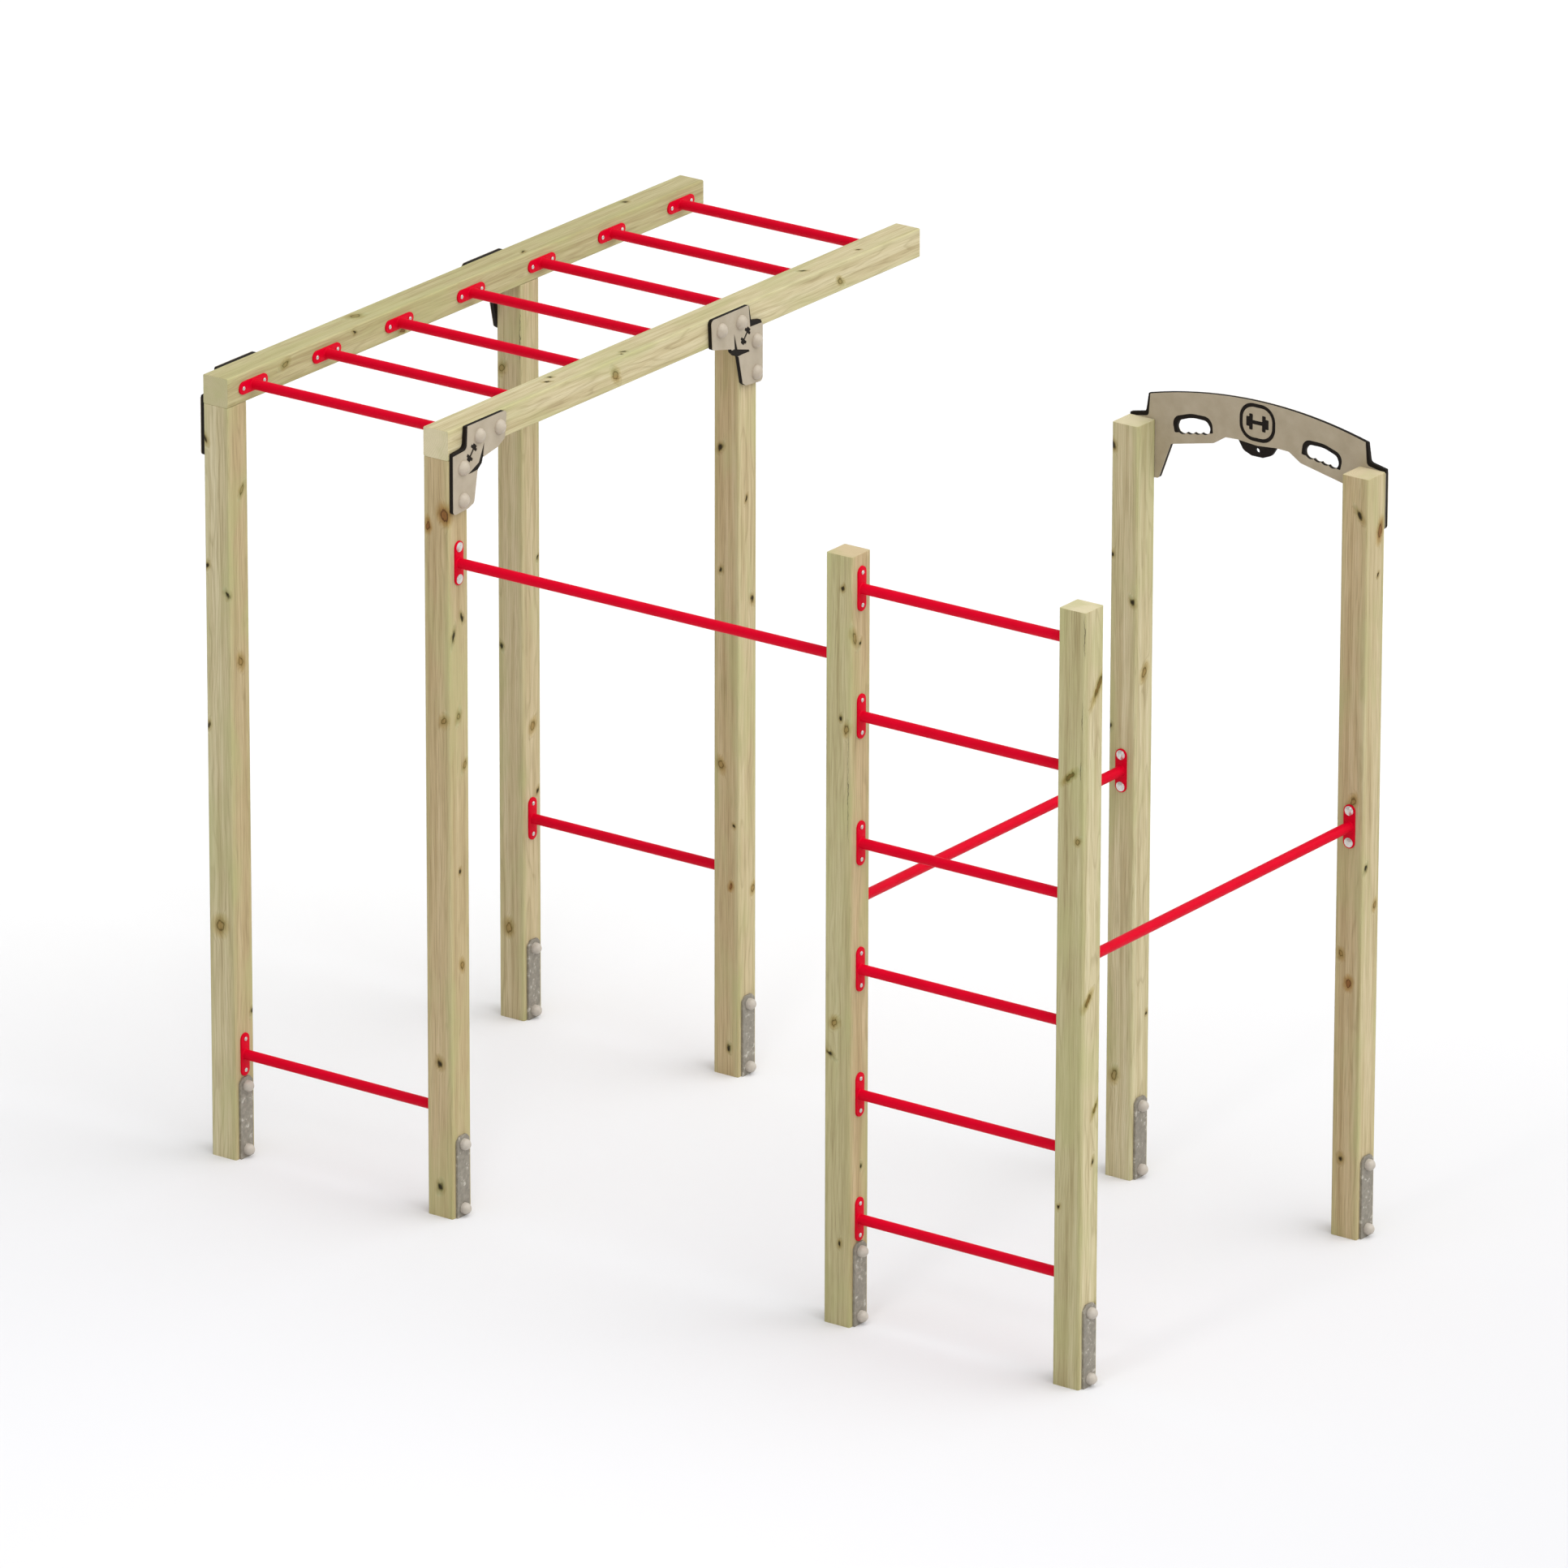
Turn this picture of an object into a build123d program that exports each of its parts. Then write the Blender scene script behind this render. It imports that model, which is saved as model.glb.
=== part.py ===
from build123d import *
import os

os.makedirs("parts", exist_ok=True)

# Monkey bars: a horizontal ladder of steel rungs on two overhead beams and four posts, tied by
# one long bar to a second bay of four posts that holds a wall ladder, two dip bars and an arch
# panel. Millimetres. +X runs along the rungs, +Y along the overhead beams and +Z up. The origin
# is on the ground, under the middle of the whole. The near row of posts is the one at low Y.

# ---------------------------------------------------------------- driving dimensions
# Timber
post_w = 92  # square section of every post and beam
post_h = 2400
beam_l = 2400
arris_r = 5  # rounding of the long edges
end_r = 1.5  # rounding of the sawn ends

# Layout, from post axis to post axis
rung_bay = 820  # across the overhead ladder, and across the wall ladder
link_bay = 1460  # along the long bar
depth_bay = 1455  # from the near row to the far row

# Bars, by the heights of their axes above the ground or their drops below the post tops
rung_count = 7
rung_margin = 122  # from each beam end to the nearest rung's axis
ladder_count = 6
ladder_first_z = 332  # the low bar of the overhead bay is level with it
ladder_last_drop = 105.5
mid_bar_z = 658
long_bar_drop = 328
dip_bar_z = 1309

# Bar tube and its welded end plates
tube_d = 32
tube_wall = 2.5
plate_w = 40
plate_t = 5
plate_end = 19  # from a fixing to the end of its plate
fixing_pitch = 100  # the two fixings of an end plate, and of a panel's wing or leg

# Fixings: pan head screws, and the larger cup head bolts of the long bar and the dip bars
screw_head_d = 13
screw_head_h = 3.5
screw_shank_d = 8
bolt_head_d = 30
bolt_head_h = 5
bolt_shank_d = 10
shank_gap = 3  # between a shank's tip and a shank that crosses its line inside a post
hole_clearance = 0.5  # round a shank in an end plate
pilot_clearance = 0.1  # round a shank in the timber

# Sandwich panel: a core with a thin skin on each shown face
panel_t = 15
skin_t = 2
ledge_w = 7  # how far the skin stands back from the core beside a notch

# Dome caps over the panel fixings
cap_d = 46
cap_h = 19
cap_rim = 3  # the upright edge below the dome

# Corner plates, measured from the post axis and from the beam's underside
corner_top_drop = 1  # below the beam's top
near_cap_y = 86  # from the post axis to the first cap on the beam, on a near plate
far_cap_y = 56  # the same on a far plate
wing_cap_rise = 2  # of the caps on the beam, above the beam's axis
leg_cap_drop = 31  # of the upper cap on the post, below the beam
near_tip = 36  # from the last cap on the beam to the tip of a near plate
far_tip = 50
leg_tip = 37  # from the last cap on the post to the foot of the leg

# Arch panel, measured from the posts' outer faces and from the post tops
arch_crown = 127
arch_step_w = 66  # from a post's outer face to the end of the top arc
arch_shoulder_z = 77
arch_cap_drop = 40  # of the upper cap of each leg
arch_leg_tip = 42  # from the lower cap to the foot of the leg
arch_leg_in = 105  # width of a leg at its foot
arch_haunch = 148  # from a post's outer face to the upper end of the leg's slope
grip_gap = 134  # from a post's inner face to the middle of the grip
grip_z = 7
grip_tilt = 9.5  # degrees, following the arc
grip_half_w = 60
grip_top = 24  # above and below the grip's middle
grip_sole = 23
grip_arch = 11  # how far the hole's top falls from its middle to its ends
finger_r = 20
finger_pitch = 27
ring_w = 128
ring_h = 118
ring_line = 12
ring_z = 61
eye_r = 8
eye_drop = 26

# Ground straps on the posts' +X faces
strap_w = 60
strap_t = 8
strap_gap = 3  # below the lowest end plates
strap_cut = 14
foot_cap_d = 35
foot_cap_h = 24
foot_cap_rim = 7
foot_cap_low = 26
foot_cap_drop = 28  # of the upper cap, below the strap's top

# ---------------------------------------------------------------- places
core_t = panel_t - skin_t
post_half = post_w / 2
plate_l = fixing_pitch + 2 * plate_end
screw_reach = post_half - bolt_shank_d / 2 - shank_gap
bolt_reach = post_w - screw_reach - shank_gap
strap_h = ladder_first_z - plate_l / 2 - strap_gap
long_bar_z = post_h - long_bar_drop
overhang_left = post_half + panel_t + cap_h
overhang_right = post_half + strap_t + foot_cap_h
first_x = -(2 * rung_bay + link_bay + overhang_right - overhang_left) / 2
near_y = -(beam_l - post_w) / 2
far_y = near_y + depth_bay
columns = [
    first_x,
    first_x + rung_bay,
    first_x + rung_bay + link_bay,
    first_x + 2 * rung_bay + link_bay,
]
rows = {"near": near_y, "far": far_y}
rung_pitch = (beam_l - 2 * rung_margin) / (rung_count - 1)
rung_ys = [near_y - post_half + rung_margin + i * rung_pitch for i in range(rung_count)]
ladder_pitch = (post_h - ladder_last_drop - ladder_first_z) / (ladder_count - 1)
ladder_zs = [ladder_first_z + i * ladder_pitch for i in range(ladder_count)]
left_x = columns[0] + post_half
right_x = columns[1] - post_half
ladder_left_x = columns[2] + post_half
ladder_right_x = columns[3] - post_half
beam_mid_z = post_h + post_half
row_near_face = near_y + post_half
row_far_face = far_y - post_half


def end_seat(point, toward, along):
    """Where an end plate sits: on the timber at a point, facing the bar, long side along."""
    return Plane(origin=point, x_dir=along, z_dir=toward)


def fixing_seats(seat):
    """The two fixings of an end plate, on the timber, pointing out of it."""
    reach = fixing_pitch / 2
    return [seat.shift_origin(seat.from_local_coords((side * reach, 0, 0))) for side in (-1, 1)]


def bar_ends(start, finish, along):
    """The seats of a bar's two end plates, from the points where it meets the timber."""
    run = (Vector(*finish) - Vector(*start)).normalized()
    return [end_seat(start, run, along), end_seat(finish, run * -1, along)]


UP = (0, 0, 1)
AWAY = (0, 1, 0)

rung_ends = [
    bar_ends((left_x, y, beam_mid_z), (right_x, y, beam_mid_z), AWAY) for y in rung_ys
]
ladder_ends = [
    bar_ends((ladder_left_x, near_y, z), (ladder_right_x, near_y, z), UP) for z in ladder_zs
]
low_ends = bar_ends((left_x, near_y, ladder_first_z), (right_x, near_y, ladder_first_z), UP)
mid_ends = bar_ends((left_x, far_y, mid_bar_z), (right_x, far_y, mid_bar_z), UP)
long_ends = bar_ends(
    (columns[1] + post_half, near_y, long_bar_z),
    (columns[2] - post_half, near_y, long_bar_z),
    UP,
)
dip_ends = [
    bar_ends((x, row_near_face, dip_bar_z), (x, row_far_face, dip_bar_z), UP)
    for x in columns[2:]
]

# Which timber each small screw and each large bolt is driven into
screws = {
    "beam_left": [s for ends in rung_ends for s in fixing_seats(ends[0])],
    "beam_right": [s for ends in rung_ends for s in fixing_seats(ends[1])],
    "post_near_1": fixing_seats(low_ends[0]),
    "post_near_2": fixing_seats(low_ends[1]),
    "post_far_1": fixing_seats(mid_ends[0]),
    "post_far_2": fixing_seats(mid_ends[1]),
    "post_near_3": [s for ends in ladder_ends for s in fixing_seats(ends[0])],
    "post_near_4": [s for ends in ladder_ends for s in fixing_seats(ends[1])],
}
dip_near = [fixing_seats(ends[0]) for ends in dip_ends]
dip_far = [fixing_seats(ends[1]) for ends in dip_ends]
bolts = {
    "post_near_2": fixing_seats(long_ends[0]),
    "post_near_3": fixing_seats(long_ends[1]) + dip_near[0],
    "post_near_4": dip_near[1],
    "post_far_3": dip_far[0],
    "post_far_4": dip_far[1],
}

# ---------------------------------------------------------------- timber
# Eight square posts, their arrises rounded, bored only where a bar is fixed to them.
for row, y in rows.items():
    for number, x in enumerate(columns, start=1):
        name = f"post_{row}_{number}"
        with BuildPart() as post:
            with Locations((x, y, 0)):
                Box(post_w, post_w, post_h, align=(Align.CENTER, Align.CENTER, Align.MIN))
            fillet(post.edges().filter_by(Axis.Z), arris_r)
            fillet(post.faces().sort_by(Axis.Z)[-1].edges(), end_r)
            for seat in screws.get(name, []):
                with Locations(seat):
                    Hole(screw_shank_d / 2 + pilot_clearance, screw_reach)
            for seat in bolts.get(name, []):
                with Locations(seat):
                    Hole(bolt_shank_d / 2 + pilot_clearance, bolt_reach)
        post.part.label = name
        export_step(post.part, f"parts/{name}.step")

# Two beams lie on the overhead posts, flush with the near row and running past the far row.
for name, x in (("beam_left", columns[0]), ("beam_right", columns[1])):
    with BuildPart() as beam:
        with Locations((x, near_y - post_half, post_h)):
            Box(post_w, beam_l, post_w, align=(Align.CENTER, Align.MIN, Align.MIN))
        fillet(beam.edges().filter_by(Axis.Y), arris_r)
        fillet(beam.faces().filter_by(Axis.Y).edges(), end_r)
        for seat in screws[name]:
            with Locations(seat):
                Hole(screw_shank_d / 2 + pilot_clearance, screw_reach)
    beam.part.label = name
    export_step(beam.part, f"parts/{name}.step")


# ---------------------------------------------------------------- bars
def bar_tube(name, ends):
    """A tube from one end plate to the other, on the line between their seats."""
    start = ends[0].offset(plate_t)
    length = (ends[1].origin - ends[0].origin).length - 2 * plate_t
    with BuildPart() as tube:
        with BuildSketch(start):
            Circle(tube_d / 2)
            Circle(tube_d / 2 - tube_wall, mode=Mode.SUBTRACT)
        extrude(amount=length)
    tube.part.label = name
    export_step(tube.part, f"parts/{name}.step")


def end_plates(name, seats, shank_d):
    """Round-ended plates, one on each seat, each with two holes for its fixings."""
    with BuildPart() as plates:
        for seat in seats:
            with BuildSketch(seat):
                SlotOverall(plate_l, plate_w)
                with Locations((-fixing_pitch / 2, 0), (fixing_pitch / 2, 0)):
                    Circle(shank_d / 2 + hole_clearance, mode=Mode.SUBTRACT)
            extrude(amount=plate_t)
    plates.part.label = name
    export_step(plates.part, f"parts/{name}.step")


for number, ends in enumerate(rung_ends, start=1):
    bar_tube(f"rung_{number}", ends)
for number, ends in enumerate(ladder_ends, start=1):
    bar_tube(f"ladder_rung_{number}", ends)
bar_tube("low_bar", low_ends)
bar_tube("mid_bar", mid_ends)
bar_tube("long_bar", long_ends)
bar_tube("dip_bar_left", dip_ends[0])
bar_tube("dip_bar_right", dip_ends[1])

end_plates("rung_plates_left", [ends[0] for ends in rung_ends], screw_shank_d)
end_plates("rung_plates_right", [ends[1] for ends in rung_ends], screw_shank_d)
end_plates("ladder_plates_left", [ends[0] for ends in ladder_ends], screw_shank_d)
end_plates("ladder_plates_right", [ends[1] for ends in ladder_ends], screw_shank_d)
end_plates("low_bar_plates", low_ends, screw_shank_d)
end_plates("mid_bar_plates", mid_ends, screw_shank_d)
end_plates("long_bar_plates", long_ends, bolt_shank_d)
end_plates("dip_bar_left_plates", dip_ends[0], bolt_shank_d)
end_plates("dip_bar_right_plates", dip_ends[1], bolt_shank_d)


# ---------------------------------------------------------------- screws and bolts
def dome_edge(radius, rim, height):
    """Half of a low dome on an upright rim, from its top out and down to (radius, 0)."""
    TangentArc((0, height), (radius, rim), tangent=(1, 0))
    Line((radius, rim), (radius, 0))


def fixing(head_d, head_h, shank_d, reach):
    """A low domed head on a plain shank, turned about Z, its head's underside at Z = 0."""
    with BuildPart() as turned:
        with BuildSketch(Plane.XZ):
            with BuildLine():
                dome_edge(head_d / 2, head_h / 3, head_h)
                Polyline((head_d / 2, 0), (shank_d / 2, 0), (shank_d / 2, -reach), (0, -reach))
                Line((0, -reach), (0, head_h))
            make_face()
        revolve(axis=Axis.Z)
    return turned.part


def fixings(name, seats, solid):
    """One fixing on each seat, its head on the end plate."""
    with BuildPart() as group:
        with Locations(*[seat.offset(plate_t) for seat in seats]):
            add(solid)
    group.part.label = name
    export_step(group.part, f"parts/{name}.step")


screw = fixing(screw_head_d, screw_head_h, screw_shank_d, plate_t + screw_reach)
bolt = fixing(bolt_head_d, bolt_head_h, bolt_shank_d, plate_t + bolt_reach)
fixings("rung_screws", screws["beam_left"] + screws["beam_right"], screw)
fixings("ladder_screws", screws["post_near_3"] + screws["post_near_4"], screw)
cross_seats = [seat for ends in (low_ends, mid_ends) for end in ends for seat in fixing_seats(end)]
fixings("cross_bar_screws", cross_seats, screw)
fixings("cup_bolts", [seat for seats in bolts.values() for seat in seats], bolt)


# ---------------------------------------------------------------- panels
def emblem(scale):
    """A cut-out of a dumbbell: a short bar with two discs at each end, seen from the side."""
    Rectangle(40 * scale, 11 * scale, mode=Mode.SUBTRACT)
    with Locations((-20 * scale, 0), (20 * scale, 0)):
        RectangleRounded(12 * scale, 44 * scale, 3 * scale, mode=Mode.SUBTRACT)
    with Locations((-29 * scale, 0), (29 * scale, 0)):
        RectangleRounded(12 * scale, 27 * scale, 3 * scale, mode=Mode.SUBTRACT)


def outline(corners, mode=Mode.ADD):
    """A closed face from (x, y, corner radius) triples."""
    points = [(x, y) for x, y, r in corners]
    radii = [r for x, y, r in corners]
    with BuildLine() as border:
        FilletPolyline(*points, radius=radii, close=True)
    make_face(border.edges(), mode=mode)


# Corner plates. A near plate is an L: a wing along the beam and a leg down the post, with a
# notch in the outer corner. A far plate is a T with its notch past the post. Beside each notch
# the skin stands back from the core, and at the inner corner it is cut away in two spikes.
# The outlines are measured along the beam and up, from the post axis at the beam's underside.
corner_top = post_w - corner_top_drop
past_top = corner_top + 20  # the notch cut runs out over the plate's top
near_reach = near_cap_y + fixing_pitch + near_tip
far_reach = far_cap_y + fixing_pitch + far_tip
leg_drop = leg_cap_drop + fixing_pitch + leg_tip
wing_cap_z = post_half + wing_cap_rise
corners = {
    "near": {
        "core": [
            (post_half - 14 - ledge_w, corner_top, 4),
            (near_reach, corner_top, 12),
            (near_reach - 9, 6, 14),
            (near_reach - 44, -12, 24),
            (post_half + 61, -24, 3),
            (post_half + 55, -42, 8),
            (post_half + 31, -60, 4),
            (post_half + 14, 14 - leg_drop, 12),
            (post_half - 16, 4 - leg_drop, 20),
            (5 - post_half, -leg_drop, 12),
            (5 - post_half, 15 + ledge_w, 3),
            (post_half - 20 - ledge_w, 20 + ledge_w, 17),
        ],
        "skin_notch": [
            (-post_half - 14, 15, 1),
            (5 - post_half, 15, 1),
            (post_half - 20, 20, 15),
            (post_half - 14, past_top, 1),
            (-post_half - 14, past_top, 1),
        ],
        "spikes": [
            (post_half + 66, 24, 1),
            (post_half + 61, -20, 1),
            (post_half + 72, -66, 1),
            (post_half + 31, -57, 1),
            (post_half - 17, -59, 1),
            (post_half + 38, -35, 4),
        ],
        "emblem": (post_half + 4, 4, 50),
        "caps": [
            (near_cap_y + fixing_pitch, wing_cap_z),
            (near_cap_y, wing_cap_z),
            (6, -leg_cap_drop),
            (6, -leg_cap_drop - fixing_pitch),
        ],
    },
    "far": {
        "core": [
            (-far_reach, corner_top, 14),
            (28 - post_half + ledge_w, corner_top, 8),
            (39 - post_half + ledge_w, 31 + ledge_w, 2),
            (post_half + 4, 22 + ledge_w, 5),
            (post_half + 11, 14, 3),
            (post_half + 11, -leg_drop, 14),
            (16 - post_half, 8 - leg_drop, 8),
            (2 - post_half, 18 - leg_drop, 6),
            (-post_half - 19, -60, 3),
            (-post_half - 38, -52, 6),
            (-post_half - 54, -38, 6),
            (-post_half - 56, -26, 3),
            (6 - far_reach, -3, 8),
        ],
        "skin_notch": [
            (28 - post_half, past_top, 1),
            (38 - post_half, 20, 2),
            (post_half + 5, 18, 1),
            (post_half + 34, 14, 1),
            (post_half + 34, past_top, 1),
        ],
        "spikes": [
            (-post_half - 45, 25, 1),
            (-post_half - 26, -34, 1),
            (32 - post_half, -50, 1),
            (36 - post_half, -57, 1),
            (-post_half - 16, -57, 1),
            (-post_half - 62, -60, 1),
            (-post_half - 60, -30, 1),
            (-post_half - 41, -29, 1),
        ],
        "emblem": (15 - post_half, -2, 50),
        "caps": [
            (-far_cap_y - fixing_pitch, wing_cap_z),
            (-far_cap_y, wing_cap_z),
            (24, -leg_cap_drop),
            (24, -leg_cap_drop - fixing_pitch),
        ],
    },
}
corner_cap_seats = []
for row, shape in corners.items():
    for hand, side, x in (("left", -1, columns[0]), ("right", 1, columns[1])):
        name = f"corner_{row}_{hand}"
        face = Plane((x + side * post_half, rows[row], post_h), x_dir=AWAY, z_dir=(1, 0, 0))
        with BuildPart() as corner_core:
            with BuildSketch(face):
                outline(shape["core"])
            extrude(amount=side * core_t)
        corner_core.part.label = f"{name}_core"
        export_step(corner_core.part, f"parts/{name}_core.step")

        with BuildPart() as corner_skin:
            with BuildSketch(face.offset(side * core_t)):
                outline(shape["core"])
                outline(shape["skin_notch"], mode=Mode.SUBTRACT)
                outline(shape["spikes"], mode=Mode.SUBTRACT)
                mark_y, mark_z, mark_turn = shape["emblem"]
                with Locations(Location((mark_y, mark_z), mark_turn)):
                    emblem(0.8)
            extrude(amount=side * skin_t)
        corner_skin.part.label = f"{name}_skin"
        export_step(corner_skin.part, f"parts/{name}_skin.step")
        for y, z in shape["caps"]:
            corner_cap_seats.append(
                Plane(
                    (x + side * (post_half + panel_t), rows[row] + y, post_h + z),
                    z_dir=(side, 0, 0),
                )
            )

# Arch panel, on the far faces of the far posts of the second bay. Its outline is drawn from one
# half. The skins stand back beside the two stepped shoulders and leave the hanging tab bare. The
# two grips go right through; round each of them the front skin is cut wider on three sides.
bay_half = (rung_bay + post_w) / 2
grip_x = bay_half - post_w - grip_gap
arch_leg_drop = arch_cap_drop + fixing_pitch + arch_leg_tip
arch_x = (columns[2] + columns[3]) / 2
arch_face = Plane((arch_x, far_y + post_half, post_h), x_dir=(1, 0, 0), z_dir=(0, -1, 0))


def both_halves(half, middle=()):
    """A symmetric outline: a half from top to bottom on the right, then its mirror image."""
    return list(half) + list(middle) + [(-x, z, r) for x, z, r in reversed(half)]


def arch_body(step_in, step_up, tab):
    """The panel's face: two legs, a hollow underside, stepped shoulders and an arched top."""
    shoulder_x = bay_half - arch_step_w - step_in
    half = [
        (shoulder_x, arch_shoulder_z, 2),
        (shoulder_x + 9 - step_in / 2, 18 - step_up, 13),
        (bay_half, 6 - step_up, 3),
        (bay_half, -arch_leg_drop, 14),
        (bay_half - arch_leg_in, -arch_leg_drop, 10),
        (bay_half - arch_haunch, -66, 6),
        (155, -33, 16),
        (113, -6, 16),
        (68, -4, 3),
    ]
    outline(both_halves(half, tab))
    with BuildLine() as crown:
        ThreePointArc(
            (shoulder_x, arch_shoulder_z),
            (0, arch_crown),
            (-shoulder_x, arch_shoulder_z),
        )
        Line((-shoulder_x, arch_shoulder_z), (shoulder_x, arch_shoulder_z))
    make_face(crown.edges())


def grip_hole(half_w, top, corner_r):
    """A hand hole about its own middle, arched above, with four finger hollows below."""
    hollow_z = (finger_r**2 - (finger_pitch / 2) ** 2) ** 0.5 - grip_sole
    with BuildSketch() as hole:
        outline(
            [
                (half_w - 3, -grip_sole, 4),
                (half_w, top - grip_arch, corner_r),
                (0, top, 100),
                (-half_w, top - grip_arch, corner_r),
                (3 - half_w, -grip_sole, 4),
            ]
        )
        with Locations((0, hollow_z)):
            with GridLocations(finger_pitch, 0, 4, 1):
                Circle(finger_r)
    return hole.sketch


hand_hole = grip_hole(grip_half_w, grip_top, 22)
hand_ledge = grip_hole(grip_half_w + 13, grip_top + 13, 30)
grip_places = [
    Location((side * grip_x, grip_z), -side * grip_tilt) for side in (1, -1)
]


def layer(name, back, thickness, draw):
    """One layer of the arch panel, from its distance behind the posts' far faces."""
    with BuildPart() as sheet:
        with BuildSketch(arch_face.offset(-back)):
            draw()
        extrude(amount=-thickness)
    sheet.part.label = name
    export_step(sheet.part, f"parts/{name}.step")


tab_corners = [(50, -33, 22), (20, -45, 16), (-20, -45, 16), (-50, -33, 22)]


def draw_core():
    arch_body(0, 0, tab_corners)
    with Locations(*grip_places):
        add(hand_hole, mode=Mode.SUBTRACT)
    with Locations((0, -eye_drop)):
        Circle(eye_r, mode=Mode.SUBTRACT)


def draw_front_skin():
    arch_body(ledge_w, ledge_w + 4, [(0, -10, 60)])
    with Locations(*grip_places):
        add(hand_ledge, mode=Mode.SUBTRACT)
    with Locations((0, ring_z)):
        RectangleRounded(ring_w, ring_h, 50, mode=Mode.SUBTRACT)
        RectangleRounded(ring_w - 2 * ring_line, ring_h - 2 * ring_line, 38)
        emblem(1.15)


def draw_back_skin():
    arch_body(ledge_w, ledge_w + 4, [(0, -10, 60)])
    with Locations(*grip_places):
        add(hand_hole, mode=Mode.SUBTRACT)


layer("arch_skin_front", 0, skin_t, draw_front_skin)
layer("arch_core", skin_t, panel_t - 2 * skin_t, draw_core)
layer("arch_skin_back", panel_t - skin_t, skin_t, draw_back_skin)
arch_cap_seats = [
    Plane((x, far_y + post_half + panel_t, post_h - drop), z_dir=(0, 1, 0))
    for x in columns[2:]
    for drop in (arch_cap_drop, arch_cap_drop + fixing_pitch)
]

# ---------------------------------------------------------------- ground straps
# A flat galvanised strap up the +X face of each post, its upper corners cut off.
posts_of = {
    "overhead": [(x, y) for x in columns[:2] for y in rows.values()],
    "ladder": [(x, near_y) for x in columns[2:]],
    "arch": [(x, far_y) for x in columns[2:]],
}
foot_cap_seats = []
for bay, feet in posts_of.items():
    with BuildPart() as straps:
        for x, y in feet:
            with BuildSketch(Plane((x + post_half, y, 0), x_dir=AWAY, z_dir=(1, 0, 0))):
                outline(
                    [
                        (-strap_w / 2, 0, 1),
                        (strap_w / 2, 0, 1),
                        (strap_w / 2, strap_h - strap_cut, 5),
                        (strap_w / 2 - strap_cut, strap_h, 5),
                        (strap_cut - strap_w / 2, strap_h, 5),
                        (-strap_w / 2, strap_h - strap_cut, 5),
                    ]
                )
            extrude(amount=strap_t)
    straps.part.label = f"foot_straps_{bay}"
    export_step(straps.part, f"parts/foot_straps_{bay}.step")
    for x, y in feet:
        for z in (foot_cap_low, strap_h - foot_cap_drop):
            foot_cap_seats.append(Plane((x + post_half + strap_t, y, z), z_dir=(1, 0, 0)))


# ---------------------------------------------------------------- dome caps
def caps(name, seats, diameter, rim, height):
    """Dome caps, flat side down, over the fixings of a panel or a strap."""
    with BuildPart() as dome:
        with BuildSketch(Plane.XZ):
            with BuildLine():
                dome_edge(diameter / 2, rim, height)
                Polyline((diameter / 2, 0), (0, 0), (0, height))
            make_face()
        revolve(axis=Axis.Z)
    with BuildPart() as group:
        with Locations(*seats):
            add(dome.part)
    group.part.label = name
    export_step(group.part, f"parts/{name}.step")


caps("corner_caps", corner_cap_seats, cap_d, cap_rim, cap_h)
caps("arch_caps", arch_cap_seats, cap_d, cap_rim, cap_h)
caps("foot_caps", foot_cap_seats, foot_cap_d, foot_cap_rim, foot_cap_h)
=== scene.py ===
"""A timber and steel climbing frame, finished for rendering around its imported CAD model."""

import math

import bmesh
import bpy
import numpy as np
from mathutils import Matrix, Vector


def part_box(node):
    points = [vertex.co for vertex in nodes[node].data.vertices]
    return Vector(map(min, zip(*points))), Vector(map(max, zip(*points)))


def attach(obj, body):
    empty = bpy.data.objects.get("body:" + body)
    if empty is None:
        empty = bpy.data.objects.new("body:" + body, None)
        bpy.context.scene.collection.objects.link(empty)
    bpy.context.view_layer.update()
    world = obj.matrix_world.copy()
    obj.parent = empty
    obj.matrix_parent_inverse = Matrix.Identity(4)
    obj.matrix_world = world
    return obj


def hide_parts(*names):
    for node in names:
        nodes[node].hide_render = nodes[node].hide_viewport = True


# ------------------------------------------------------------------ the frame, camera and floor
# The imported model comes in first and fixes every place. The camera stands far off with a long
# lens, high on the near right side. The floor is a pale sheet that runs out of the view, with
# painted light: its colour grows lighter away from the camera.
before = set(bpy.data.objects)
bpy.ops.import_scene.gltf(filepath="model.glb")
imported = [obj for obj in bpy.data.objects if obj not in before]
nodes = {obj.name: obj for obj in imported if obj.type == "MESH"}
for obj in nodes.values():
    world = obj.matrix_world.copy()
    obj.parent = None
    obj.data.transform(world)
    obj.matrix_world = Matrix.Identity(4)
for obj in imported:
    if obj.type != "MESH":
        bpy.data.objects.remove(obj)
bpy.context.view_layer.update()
mm = 0.001

camera_data = bpy.data.cameras.new("camera")
camera_data.sensor_width = 36
camera_data.lens = 344.84
camera_data.clip_end = 400
camera = bpy.data.objects.new("camera", camera_data)
camera_turn = (
    Matrix.Rotation(math.radians(35.755), 4, "Z")
    @ Matrix.Rotation(math.radians(69.907), 4, "X")
    @ Matrix.Rotation(math.radians(0.121), 4, "Z")
)
camera.matrix_world = Matrix.Translation((24.55, -34.551, 16.687)) @ camera_turn
bpy.context.scene.collection.objects.link(camera)
bpy.context.scene.camera = camera
bpy.context.scene.view_settings.view_transform = "Standard"


def linear(code):
    """An sRGB hex colour as linear red, green, blue and alpha."""
    shares = np.array([int(code[i : i + 2], 16) for i in (1, 3, 5)]) / 255
    straight = np.where(shares <= 0.04045, shares / 12.92, ((shares + 0.055) / 1.055) ** 2.4)
    return (*(float(share) for share in straight), 1.0)


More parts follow.
